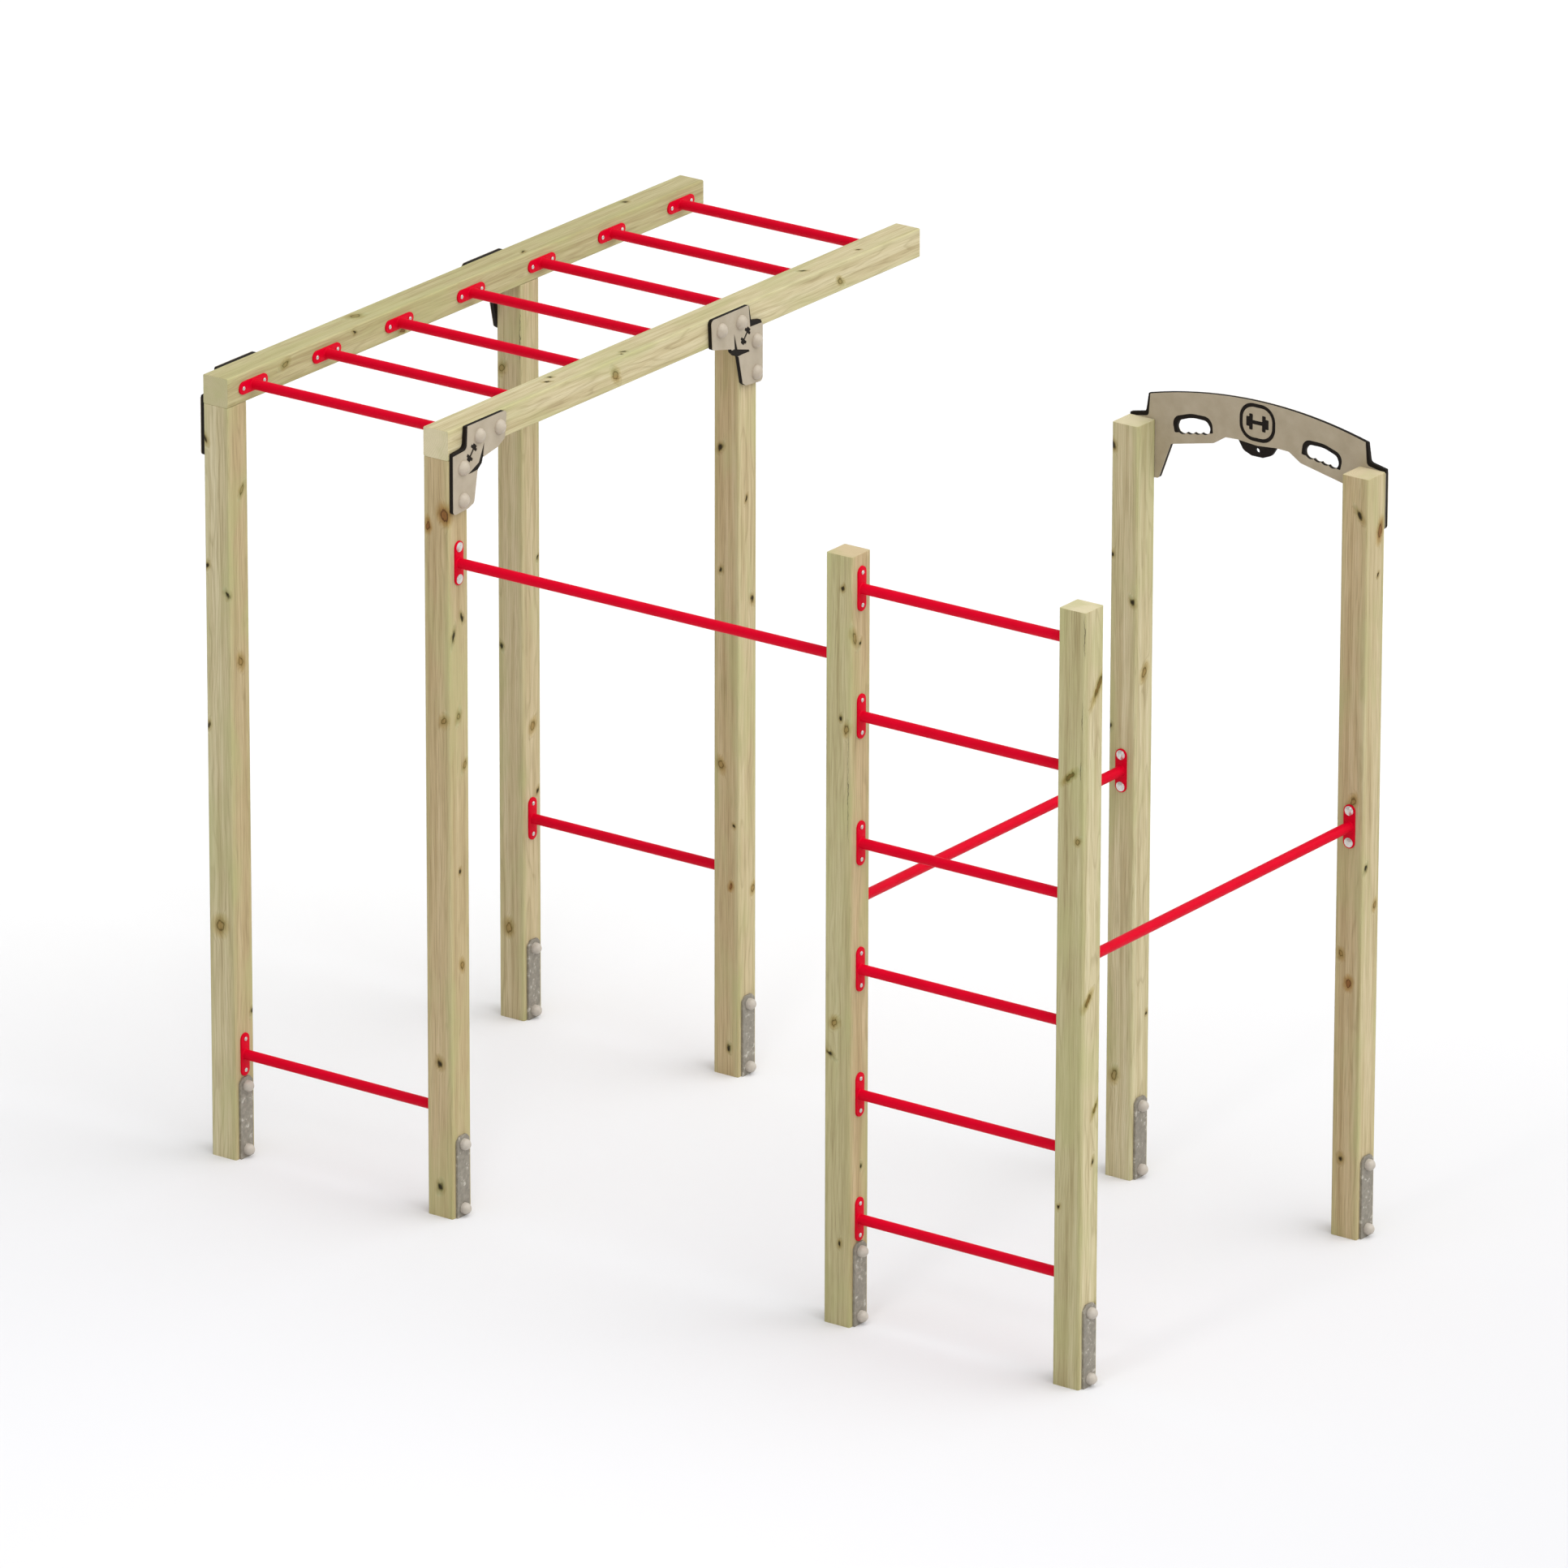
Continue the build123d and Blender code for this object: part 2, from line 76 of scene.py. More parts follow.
def add_node(tree, kind, inputs=None, **settings):
    """Adds a shader node, sets its properties, and fills or links its inputs by name or number."""
    made = tree.nodes.new("ShaderNode" + kind)
    for name, value in settings.items():
        setattr(made, name, value)
    for socket, value in (inputs or {}).items():
        if isinstance(value, bpy.types.NodeSocket):
            tree.links.new(value, made.inputs[socket])
        else:
            made.inputs[socket].default_value = value
    return made


def new_material(name):
    """A material with one Principled shader; returns the material, its tree and the shader."""
    made = bpy.data.materials.new(name)
    made.use_nodes = True
    made.node_tree.nodes.clear()
    shader = add_node(made.node_tree, "BsdfPrincipled")
    add_node(made.node_tree, "OutputMaterial", {"Surface": shader.outputs["BSDF"]})
    return made, made.node_tree, shader


floor_half = 60
floor_away = (-0.584, 0.811, 0)  # level, away from the camera
fade_start, fade_end = -1.5, 3.5  # along that direction
floor_mesh = bpy.data.meshes.new("floor")
corner_signs = ((-1, -1), (1, -1), (1, 1), (-1, 1))
floor_corners = [(x * floor_half, y * floor_half, 0) for x, y in corner_signs]
floor_mesh.from_pydata(floor_corners, [], [(0, 1, 2, 3)])
floor = bpy.data.objects.new("floor", floor_mesh)
bpy.context.scene.collection.objects.link(floor)
floor_paint, floor_tree, floor_shader = new_material("studio_floor_paint")
floor_where = add_node(floor_tree, "TexCoord")
floor_depth = add_node(
    floor_tree,
    "VectorMath",
    {0: floor_where.outputs["Object"], 1: floor_away},
    operation="DOT_PRODUCT",
)
# Painted light: the floor's colour is a painted brightening, light grey in front and near white
# further from the camera, so that the floor fades to white in the distance.
floor_painted_brightening = add_node(
    floor_tree,
    "MapRange",
    {"Value": floor_depth.outputs["Value"], "From Min": fade_start, "From Max": fade_end},
    interpolation_type="SMOOTHSTEP",
)
floor_tone = add_node(
    floor_tree,
    "Mix",
    {0: floor_painted_brightening.outputs[0], 6: linear("#DFDFE1"), 7: linear("#EEEEEE")},
    data_type="RGBA",
)
floor_tree.links.new(floor_tone.outputs[2], floor_shader.inputs["Base Color"])
floor_shader.inputs["Roughness"].default_value = 0.9
floor_shader.inputs["Specular IOR Level"].default_value = 0.0
floor_mesh.materials.append(floor_paint)

# ------------------------------------------------------------------ soft studio light
# A bright dome that is strongest overhead and to the right, so that the right faces and the tops
# are light, the near faces half a tone darker, and shadows are only soft pools round the feet.
dome_base = 0.52
dome_gain = 2.6
dome_focus = 4.0
dome_toward = Vector((0.53, 0.1, 0.84)).normalized()
world = bpy.data.worlds.new("studio_dome")
bpy.context.scene.world = world
world.use_nodes = True
sky = world.node_tree
sky.nodes.clear()
sky_way = add_node(sky, "TexCoord")
sky_facing = add_node(
    sky,
    "VectorMath",
    {0: sky_way.outputs["Generated"], 1: dome_toward},
    operation="DOT_PRODUCT",
)
sky_lobe = add_node(sky, "Math", {0: sky_facing.outputs["Value"], 1: 0.0}, operation="MAXIMUM")
sky_soft = add_node(sky, "Math", {0: sky_lobe.outputs[0], 1: dome_focus}, operation="POWER")
sky_strength = add_node(
    sky, "Math", {0: sky_soft.outputs[0], 1: dome_gain, 2: dome_base}, operation="MULTIPLY_ADD"
)
sky_light = add_node(
    sky, "Background", {"Color": linear("#FFFFFF"), "Strength": sky_strength.outputs[0]}
)
add_node(sky, "OutputWorld", {"Surface": sky_light.outputs[0]})

# One weak lamp low in front, whose soft shadows fan out behind the posts.
front_data = bpy.data.lights.new("front_lamp", "AREA")
front_data.shape = "DISK"
front_data.size = 0.9
front_data.energy = 25
front_lamp = bpy.data.objects.new("front_lamp", front_data)
front_place = Vector((1.3, -4.6, 3.4))
front_aim = (front_place - Vector((0, 0, 0.6))).to_track_quat("Z", "Y").to_matrix().to_4x4()
front_lamp.matrix_world = Matrix.Translation(front_place) @ front_aim
bpy.context.scene.collection.objects.link(front_lamp)

# ------------------------------------------------------------------ posts and beams
# Ten lengths of planed square pine, pressure treated: pale straw to olive, with fine straight
# grain that bends round the knots, and blue-green stains beside some of them. They are packed
# CAD shapes, given only a softened arris and their own wood each.
post_low, post_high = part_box("post_near_1")
face_half = (post_high.x - post_low.x) / 2 / mm
ring_step = 6.0  # millimetres from one growth ring to the next
ring_ripple = 38.0  # how far slow noise moves a ring
knot_swell = 15.0  # how far a knot pushes the rings out

# Five tones of the wood, and the two that each timber shows: on its side towards front and
# left, and towards right and back.
wood_tones = {
    "pale": "#D2C8A6",
    "cream": "#CDBF9D",
    "tan": "#C7B490",
    "brown": "#C2B18D",
    "olive": "#BEB68F",
}
tones_of = {
    "post_near_1": ("pale", "brown"),
    "post_near_2": ("tan", "brown"),
    "post_near_3": ("olive", "tan"),
    "post_near_4": ("olive", "pale"),
    "post_far_1": ("cream", "cream"),
    "post_far_2": ("tan", "cream"),
    "post_far_3": ("pale", "pale"),
    "post_far_4": ("tan", "cream"),
    "beam_left": ("olive", "olive"),
    "beam_right": ("pale", "pale"),
}

# Knots by face: place across and along the face, radius, lean in degrees from the grain, and
# how many times longer than wide. All lengths in millimetres, heights from the timber's foot.
# A live knot has a dark ring round a brown heart, a dead one is nearly black, a red one
# resinous, and a spike is a branch cut along its length.
knots_of = {
    "post_near_1": {
        "live": [("front", -4, 750, 13, 10, 1.2), ("right", 4, 1590, 9, -20, 1.6),
                 ("right", 18, 2130, 6, 30, 2), ("left", 10, 1200, 12, 0, 1.3),
                 ("back", -12, 620, 11, 15, 1.4)],
        "dead": [("front", -40, 2290, 6, -25, 1.8), ("front", -38, 1890, 5, 20, 1.6),
                 ("front", 38, 1812, 6, -35, 1.5), ("front", -41, 1385, 6, 10, 1.5),
                 ("right", 40, 460, 5, 25, 1.6), ("back", 20, 1700, 6, 0, 1.4)],
    },
    "post_near_2": {
        "live": [("front", 24, 1583, 8, 20, 1.4), ("right", 26, 1430, 6, 30, 1.7),
                 ("right", -4, 1590, 7, 15, 1.5), ("left", -14, 1900, 12, 0, 1.3),
                 ("right", 8, 800, 7, -10, 1.5), ("back", 16, 900, 12, 10, 1.2)],
        "dead": [("front", 0, 95, 8, 15, 1.3), ("right", -26, 1848, 5, 15, 3),
                 ("right", 16, 1897, 5, -25, 2.2), ("front", 2, 493, 8, -10, 1.3),
                 ("right", 0, 1100, 4, 20, 1.6)],
        "red": [("front", 30, 2230, 12, -10, 1.3), ("front", -30, 2187, 6, 0, 2)],
    },
    "post_near_3": {
        "live": [("front", 28, 1870, 7, 10, 1.6), ("right", -32, 2150, 6, -18, 2.6),
                 ("front", -12, 950, 8, 30, 1.3), ("back", 0, 1500, 12, 0, 1.3),
                 ("left", 10, 700, 11, 0, 1.2)],
        "dead": [("front", 14, 2300, 5, 15, 1.5), ("front", 8, 1900, 4, 10, 1.4),
                 ("right", -4, 2128, 4, 20, 1.8), ("front", -28, 850, 5, -55, 2.2),
                 ("right", 10, 497, 4, 0, 1.6), ("front", 10, 260, 5, 10, 1.5)],
    },
    "post_near_4": {
        "live": [("left", 8, 1450, 12, 0, 1.3), ("back", -18, 800, 12, 0, 1.2),
                 ("front", 26, 1700, 5, 40, 1.6)],
        "dead": [("right", 30, 240, 5, 20, 1.6), ("front", -30, 560, 4, 20, 1.5),
                 ("right", 16, 700, 4, 20, 2)],
        "spike": [("right", 22, 2160, 7, 32, 4.5), ("front", -2, 1893, 6, 48, 3),
                  ("right", -16, 1206, 7, 42, 2.6), ("right", 24, 860, 5, 30, 3)],
    },
    "post_far_1": {
        "live": [("right", 6, 960, 9, 20, 1.4), ("front", -10, 300, 10, 0, 1.4),
                 ("left", 0, 1700, 12, 0, 1.3), ("front", -28, 2120, 8, 25, 1.5),
                 ("back", 14, 1300, 11, 0, 1.2)],
        "dead": [("right", 30, 740, 5, 25, 1.7), ("front", -34, 1220, 5, -20, 1.6),
                 ("right", 34, 1500, 4, 15, 1.6)],
    },
    "post_far_2": {
        "live": [("front", -20, 1010, 8, -20, 1.6), ("right", 30, 600, 7, 20, 1.5),
                 ("back", 4, 1650, 12, 0, 1.3), ("left", -16, 760, 11, 0, 1.2)],
        "dead": [("front", -22, 2030, 6, 30, 1.7), ("front", -20, 1640, 5, 15, 1.6),
                 ("right", 24, 1540, 6, -20, 1.6), ("front", 30, 820, 4, 0, 1.5),
                 ("right", -6, 1870, 4, 25, 1.8), ("front", 12, 90, 6, 0, 1.4)],
        "red": [("front", 18, 620, 5, 10, 1.6)],
    },
    "post_far_3": {
        "live": [("right", 2, 1615, 9, 25, 1.6), ("front", -16, 330, 9, 10, 1.4),
                 ("left", 6, 900, 12, 0, 1.3), ("back", -8, 1900, 11, 0, 1.2)],
        "dead": [("front", -40, 2330, 6, -20, 1.7), ("front", -42, 1985, 5, 20, 1.5),
                 ("front", 34, 1847, 6, -30, 1.6), ("front", -42, 1440, 5, 10, 1.6),
                 ("right", 32, 520, 4, 20, 1.6)],
    },
    "post_far_4": {
        "live": [("front", 10, 1388, 8, 20, 1.5), ("right", 24, 1050, 6, 15, 1.6),
                 ("front", -24, 900, 7, -10, 1.4), ("back", 12, 700, 12, 0, 1.2),
                 ("left", -10, 1640, 11, 0, 1.3)],
        "dead": [("front", 18, 2285, 6, -35, 2.2), ("right", -26, 1180, 5, 30, 1.8),
                 ("front", -14, 250, 7, 0, 1.3), ("right", 14, 2090, 4, 30, 1.4)],
        "red": [("right", 20, 2225, 8, 12, 2.2), ("front", 4, 812, 8, 10, 1.4)],
    },
    "beam_left": {
        "live": [("right", 8, 1240, 7, 30, 1.8), ("top", -12, 700, 10, 15, 1.5),
                 ("right", -18, 280, 7, -20, 1.7), ("left", 6, 1500, 12, 0, 1.3),
                 ("bottom", 10, 900, 12, 0, 1.2)],
        "dead": [("right", 24, 1990, 5, 20, 1.7), ("top", 22, 1500, 5, -20, 1.6),
                 ("right", -28, 620, 4, 20, 1.7), ("top", -20, 2080, 6, 20, 1.5)],
        "red": [("right", 30, 860, 5, 20, 1.8)],
    },
    "beam_right": {
        "live": [("right", 2, 830, 9, 55, 1.5), ("right", 12, 1980, 6, 40, 1.8),
                 ("left", -6, 1380, 12, 0, 1.3), ("bottom", 0, 1750, 12, 0, 1.2)],
        "dead": [("top", 4, 545, 4, 40, 2.2), ("top", -14, 585, 4, 40, 1.8),
                 ("top", 20, 905, 4, 40, 1.7), ("top", 28, 880, 3, 30, 1.6),
                 ("top", 0, 1850, 5, 40, 1.8), ("top", 14, 2120, 4, 30, 1.6)],
    },
}
knot_paints = {
    "live": [(0.0, "#D8CBAB"), (0.24, "#CDBD99"), (0.33, "#847858"), (0.4, "#D0C6A8"),
             (0.62, "#EFE8D4"), (1.0, "#FFFFFF")],
    "dead": [(0.0, "#3B3528"), (0.24, "#4F4935"), (0.36, "#A39C84"), (0.5, "#E2DCC8"),
             (1.0, "#FFFFFF")],
    "red": [(0.0, "#B88E70"), (0.24, "#BC936F"), (0.34, "#77583F"), (0.42, "#D2B793"),
            (0.66, "#ECDFC6"), (1.0, "#FFFFFF")],
    "spike": [(0.0, "#B39A62"), (0.2, "#A08A58"), (0.33, "#8A8254"), (0.42, "#CFC9A2"),
              (0.66, "#EEE9D4"), (1.0, "#FFFFFF")],
}
cracks_of = {
    "post_near_4": [("front", 43, 2330, 75), ("front", 38, 2080, 60), ("front", 34, 1915, 40)],
    "post_near_3": [("front", 34, 1700, 240)],
    "post_far_1": [("front", 42, 2230, 120)],
}


def on_face(face, across, along):
    """A point on a face in the timber's own millimetres, from the middle of its foot."""
    sides = {
        "front": (across, -face_half, along),
        "back": (across, face_half, along),
        "right": (face_half, across, along),
        "left": (-face_half, across, along),
        "top": (across, -face_half, along),
        "bottom": (across, face_half, along),
    }
    return sides[face]


def set_ramp(ramp, stops, interpolation="LINEAR"):
    """Gives a colour ramp its stops, as pairs of a place and a hex colour."""
    ramp.interpolation = interpolation
    while len(ramp.elements) < len(stops):
        ramp.elements.new(0.5)
    for element, (place, code) in zip(ramp.elements, stops):
        element.position = place
        element.color = linear(code)


def knot_distance(tree, place, knots, wide=1.0, long=1.0):
    """Distance to the nearest knot in its own radii. Each knot is an ellipsoid leaning in the
    plane of its face; wide and long swell it to the ground round about."""
    nearest = None
    for face, across, along, radius, lean, stretch in knots:
        turn = (0, math.radians(lean), 0)
        if face in ("right", "left"):
            turn = (math.radians(-lean), 0, 0)
        fitted = add_node(
            tree,
            "Mapping",
            {
                "Vector": place,
                "Location": on_face(face, across, along),
                "Rotation": turn,
                "Scale": (wide * radius, wide * radius, long * radius * stretch),
            },
            vector_type="TEXTURE",
        )
        length = add_node(tree, "VectorMath", {0: fitted.outputs[0]}, operation="LENGTH")
        length = length.outputs["Value"]
        if nearest is not None:
            length = add_node(tree, "Math", {0: nearest, 1: length}, operation="MINIMUM").outputs[0]
        nearest = length
    return nearest


def stretched_noise(tree, place, across, along, detail, roughness=0.5):
    """Noise whose features are so many millimetres across the grain and along it."""
    share = (1 / across, 1 / across, 1 / along)
    scaled = add_node(tree, "VectorMath", {0: place, 1: share}, operation="MULTIPLY")
    noise = {"Vector": scaled.outputs[0], "Scale": 1.0, "Detail": detail, "Roughness": roughness}
    return add_node(tree, "TexNoise", noise)


def blend(tree, share, first, second, kind="MIX"):
    """Mixes the second colour into the first by a share."""
    inputs = {0: share, 6: first, 7: second}
    return add_node(tree, "Mix", inputs, data_type="RGBA", blend_type=kind).outputs[2]


def smooth_step(tree, value, start, finish, low=0.0, high=1.0):
    """Runs smoothly from low to high while a value goes from start to finish."""
    span = {"Value": value, "From Min": start, "From Max": finish, "To Min": low, "To Max": high}
    return add_node(tree, "MapRange", span, interpolation_type="SMOOTHSTEP").outputs[0]


def give_roughness(tree, shader, share, low, high):
    """Runs a shader's roughness from low to high with a share between 0 and 1."""
    rough = add_node(tree, "MapRange", {"Value": share, "To Min": low, "To Max": high})
    tree.links.new(rough.outputs[0], shader.inputs["Roughness"])


def give_relief(tree, shader, height, strength, distance):
    """Bumps a shader's surface by a height between 0 and 1."""
    relief = {"Height": height, "Strength": strength, "Distance": distance}
    tree.links.new(add_node(tree, "Bump", relief).outputs[0], shader.inputs["Normal"])


def timber(name, centre, along_y, rng):
    """Treated pine as a solid texture: growth rings are cylinders about a pith beside the
    timber's axis, rippled by slow noise and pushed outwards near the knots."""
    made, tree, shader = new_material("treated_pine_" + name)
    quarter = math.radians(90) if along_y else 0
    where = add_node(tree, "TexCoord")
    own = {
        "Vector": where.outputs["Object"],
        "Location": Matrix.Rotation(quarter, 3, "X") @ (Vector(centre) / mm) * -1,
        "Rotation": (quarter, 0, 0),
        "Scale": (1 / mm, 1 / mm, 1 / mm),
    }
    place = add_node(tree, "Mapping", own).outputs[0]
    drift = Vector(rng.uniform(-900, 900, 3))
    moved = add_node(tree, "VectorMath", {0: place, 1: drift}, operation="ADD").outputs[0]
    ripple = stretched_noise(tree, moved, 75, 450, 2)
    edge = stretched_noise(tree, moved, 12, 24, 2)
    fibre = stretched_noise(tree, moved, 3.5, 120, 3, 0.6)
    band = stretched_noise(tree, moved, 17, 700, 2.5)
    patch = stretched_noise(tree, moved, 90, 300, 2)

    # Growth rings about the pith, swollen by the knots
    kinds = knots_of[name]
    every_knot = [knot for group in kinds.values() for knot in group]
    flare = knot_distance(tree, place, every_knot, 2.6, 4.5)
    swell = smooth_step(tree, flare, 0.0, 1.0, knot_swell, 0.0)
    pith = rng.uniform(45, 85) * np.array([rng.choice([-1, 1]), rng.uniform(-0.5, 1)])
    from_pith = add_node(
        tree, "VectorMath", {0: place, 1: (pith[0], pith[1], 0)}, operation="SUBTRACT"
    )
    flat = add_node(
        tree, "VectorMath", {0: from_pith.outputs[0], 1: (1, 1, 0)}, operation="MULTIPLY"
    )
    radius = add_node(tree, "VectorMath", {0: flat.outputs[0]}, operation="LENGTH")
    rippled = add_node(
        tree,
        "Math",
        {0: ripple.outputs["Fac"], 1: ring_ripple, 2: radius.outputs["Value"]},
        operation="MULTIPLY_ADD",
    )
    swollen = add_node(tree, "Math", {0: rippled.outputs[0], 1: swell}, operation="ADD")
    count = add_node(tree, "Math", {0: swollen.outputs[0], 1: ring_step}, operation="DIVIDE")
    phase = add_node(tree, "Math", {0: count.outputs[0]}, operation="FRACT")
    late_wood = add_node(tree, "ValToRGB", {"Fac": phase.outputs[0]})
    set_ramp(
        late_wood.color_ramp,
        [(0.0, "#6A6A6A"), (0.25, "#101010"), (0.6, "#202020"), (0.9, "#FFFFFF"), (1.0, "#6A6A6A")],
        "EASE",
    )

    # The wood itself: two tones that meet across the timber, rings, bands and fibre
    diagonal = add_node(tree, "VectorMath", {0: place, 1: (1, 1, 0)}, operation="DOT_PRODUCT")
    strayed = add_node(
        tree,
        "Math",
        {0: band.outputs["Fac"], 1: 90.0, 2: diagonal.outputs["Value"]},
        operation="MULTIPLY_ADD",
    )
    side_share = smooth_step(tree, strayed.outputs[0], 10.0, 80.0)
    front_tone, side_tone = (linear(wood_tones[tone]) for tone in tones_of[name])
    colour = blend(tree, side_share, front_tone, side_tone)
    ring_share = add_node(
        tree, "Math", {0: late_wood.outputs["Color"], 1: 0.3}, operation="MULTIPLY"
    )
    colour = blend(tree, ring_share.outputs[0], colour, linear("#94845E"))
    band_tone = add_node(tree, "ValToRGB", {"Fac": band.outputs["Fac"]})
    set_ramp(band_tone.color_ramp, [(0.3, "#E2DCD0"), (0.48, "#F6F4EE"), (0.66, "#FFFFFF")])
    colour = blend(tree, 1.0, colour, band_tone.outputs["Color"], "MULTIPLY")
    fibre_tone = add_node(tree, "ValToRGB", {"Fac": fibre.outputs["Fac"]})
    set_ramp(fibre_tone.color_ramp, [(0.3, "#D6D1C5"), (0.5, "#F5F3ED"), (0.7, "#FFFFFF")])
    colour = blend(tree, 0.85, colour, fibre_tone.outputs["Color"], "MULTIPLY")

    # The sawn ends are evener: no fibre runs there, and the rings are only faint
    facing = {0: where.outputs["Normal"], 1: (0, 1, 0) if along_y else (0, 0, 1)}
    endwise = add_node(tree, "VectorMath", facing, operation="DOT_PRODUCT")
    ended = add_node(tree, "Math", {0: endwise.outputs["Value"]}, operation="ABSOLUTE")
    end_share = smooth_step(tree, ended.outputs[0], 0.8, 0.95, 0.0, 0.85)
    end_tone = blend(tree, ring_share.outputs[0], side_tone, linear("#B09C78"))
    colour = blend(tree, end_share, colour, end_tone)

    # The green of the treatment lies in patches and along the arrises
    spread = add_node(tree, "VectorMath", {0: place}, operation="ABSOLUTE")
    to_corner = add_node(
        tree, "VectorMath", {0: spread.outputs[0], 1: (1, 1, 0)}, operation="DOT_PRODUCT"
    )
    corner_share = smooth_step(tree, to_corner.outputs["Value"], 66.0, 92.0, 0.0, 0.3)
    patch_share = smooth_step(tree, patch.outputs["Fac"], 0.46, 0.7, 0.0, 0.42)
    green_share = add_node(tree, "Math", {0: corner_share, 1: patch_share}, operation="ADD")
    colour = blend(tree, green_share.outputs[0], colour, linear("#ADAC78"))

    # Blue-green stain in the flare of some knots, then the knots themselves
    stain_near = smooth_step(tree, flare, 0.15, 0.9, 0.5, 0.0)
    stain_here = smooth_step(tree, patch.outputs["Fac"], 0.46, 0.6)
    stain = add_node(tree, "Math", {0: stain_near, 1: stain_here}, operation="MULTIPLY")
    colour = blend(tree, stain.outputs[0], colour, linear("#A9BDA0"))
    amber = smooth_step(tree, flare, 0.1, 0.75, 0.32, 0.0)
    colour = blend(tree, amber, colour, linear("#AE9458"))
    shift = add_node(
        tree, "VectorMath", {0: edge.outputs["Color"], 1: (0.5, 0.5, 0.5)}, operation="SUBTRACT"
    )
    shaken = add_node(
        tree,
        "VectorMath",
        {0: shift.outputs[0], 1: (11, 11, 22), 2: place},
        operation="MULTIPLY_ADD",
    ).outputs[0]
    for kind, group in kinds.items():
        near = knot_distance(tree, shaken, group)
        third = add_node(tree, "Math", {0: near, 1: 0.33}, operation="MULTIPLY")
        paint = add_node(tree, "ValToRGB", {"Fac": third.outputs[0]})
        set_ramp(paint.color_ramp, knot_paints[kind])
        colour = blend(tree, 1.0, colour, paint.outputs["Color"], "MULTIPLY")

    # Drying cracks: thin dark slits along the grain
    for face, across, along, reach in cracks_of.get(name, []):
        away = add_node(
            tree, "VectorMath", {0: shaken, 1: on_face(face, across, along)}, operation="SUBTRACT"
        )
        slit = add_node(
            tree,
            "VectorMath",
            {0: away.outputs[0], 1: (1 / 1.6, 1 / 30, 1 / reach)},
            operation="MULTIPLY",
        )
        slit_length = add_node(tree, "VectorMath", {0: slit.outputs[0]}, operation="LENGTH")
        slit_share = smooth_step(tree, slit_length.outputs["Value"], 0.5, 1.0, 0.7, 0.0)
        colour = blend(tree, slit_share, colour, linear("#4A4431"))

    tree.links.new(colour, shader.inputs["Base Color"])
    give_roughness(tree, shader, fibre.outputs["Fac"], 0.66, 0.84)
    shader.inputs["Specular IOR Level"].default_value = 0.2
    raised = add_node(
        tree,
        "Math",
        {0: late_wood.outputs["Color"], 1: 0.4, 2: fibre.outputs["Fac"]},
        operation="MULTIPLY_ADD",
    )
    give_relief(tree, shader, raised.outputs[0], 0.45, 0.6 * mm)
    return made


for number, name in enumerate(knots_of):
    low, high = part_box(name)
    foot = Vector(((low.x + high.x) / 2, (low.y + high.y) / 2, low.z))
    if name.startswith("beam"):
        foot = Vector(((low.x + high.x) / 2, low.y, (low.z + high.z) / 2))
    pine = timber(name, foot, name.startswith("beam"), np.random.default_rng(11 + number))
    nodes[name].data.materials.clear()
    nodes[name].data.materials.append(pine)
    nodes[name].modifiers.new("joined_faces", "WELD").merge_threshold = 0.01 * mm
    arris = nodes[name].modifiers.new("softened_arris", "BEVEL")
    arris.width = 1.5 * mm
    arris.segments = 2
    arris.limit_method = "ANGLE"
    arris.angle_limit = math.radians(60)

# ------------------------------------------------------------------ bars
# Steel tube welded to its end plates, then powder coated bright red in one piece: a smooth
# gloss with a faint orange peel. The weld shows as a low rounded collar where tube meets plate.
tube_radius = 16 * mm
weld_rise = 3.2 * mm


def even_noise(tree, size, detail, roughness=0.5):
    """Noise that is the same in every direction, its features so many metres across."""
    where = add_node(tree, "TexCoord").outputs["Object"]
    noise = {"Vector": where, "Scale": 1 / size, "Detail": detail, "Roughness": roughness}
    return add_node(tree, "TexNoise", noise).outputs["Fac"]


def give_tones(tree, shader, share, stops):
    """Colours a shader by where a share falls among pairs of a place and a hex colour."""
    tone = add_node(tree, "ValToRGB", {"Fac": share})
    set_ramp(tone.color_ramp, stops)
    tree.links.new(tone.outputs["Color"], shader.inputs["Base Color"])


def red_powder_coat():
    """Gloss red polyester powder on steel, with an orange peel of about 2 mm."""
    made, tree, shader = new_material("red_powder_coat")
    peel = even_noise(tree, 2 * mm, 1.0)
    cloud = even_noise(tree, 60 * mm, 2.0)
    give_tones(tree, shader, cloud, [(0.3, "#C90021"), (0.7, "#D00025")])
    shader.inputs["Roughness"].default_value = 0.4
    shader.inputs["Specular IOR Level"].default_value = 0.05
    give_relief(tree, shader, peel, 0.12, 0.2 * mm)
    return made


red_coat = red_powder_coat()


def make_piece(name, points, faces, material, smooth_below=40):
    """A mesh object at the origin, its faces smooth except across edges sharper than an angle."""
    mesh = bpy.data.meshes.new(name)
    mesh.from_pydata(np.asarray(points).reshape(-1, 3).tolist(), [], faces)
    mesh.materials.append(material)
    mesh.shade_smooth()
    mesh.set_sharp_from_angle(angle=math.radians(smooth_below))
    piece = bpy.data.objects.new(name, mesh)
    bpy.context.scene.collection.objects.link(piece)
    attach(piece, "root")
    return piece


def ring_faces(rings, around, start=0):
    """Quads between neighbouring rings of points, each ring closed on itself."""
    i, j = np.meshgrid(np.arange(rings - 1), np.arange(around), indexing="ij")
    after = (j + 1) % around
    here, there = i * around, (i + 1) * around
    quads = np.stack([here + j, here + after, there + after, there + j], -1)
    return (quads.reshape(-1, 4) + start).tolist()


def axes_for(direction):
    """Two unit directions across a given one, so that the three are right-handed."""
    d = np.array(direction, float)
    d /= np.linalg.norm(d)
    side = np.array([0.0, 0.0, 1.0]) if abs(d[2]) < 0.9 else np.array([1.0, 0.0, 0.0])
    u = np.cross(side, d)
    u /= np.linalg.norm(u)
    return u, np.cross(d, u), d


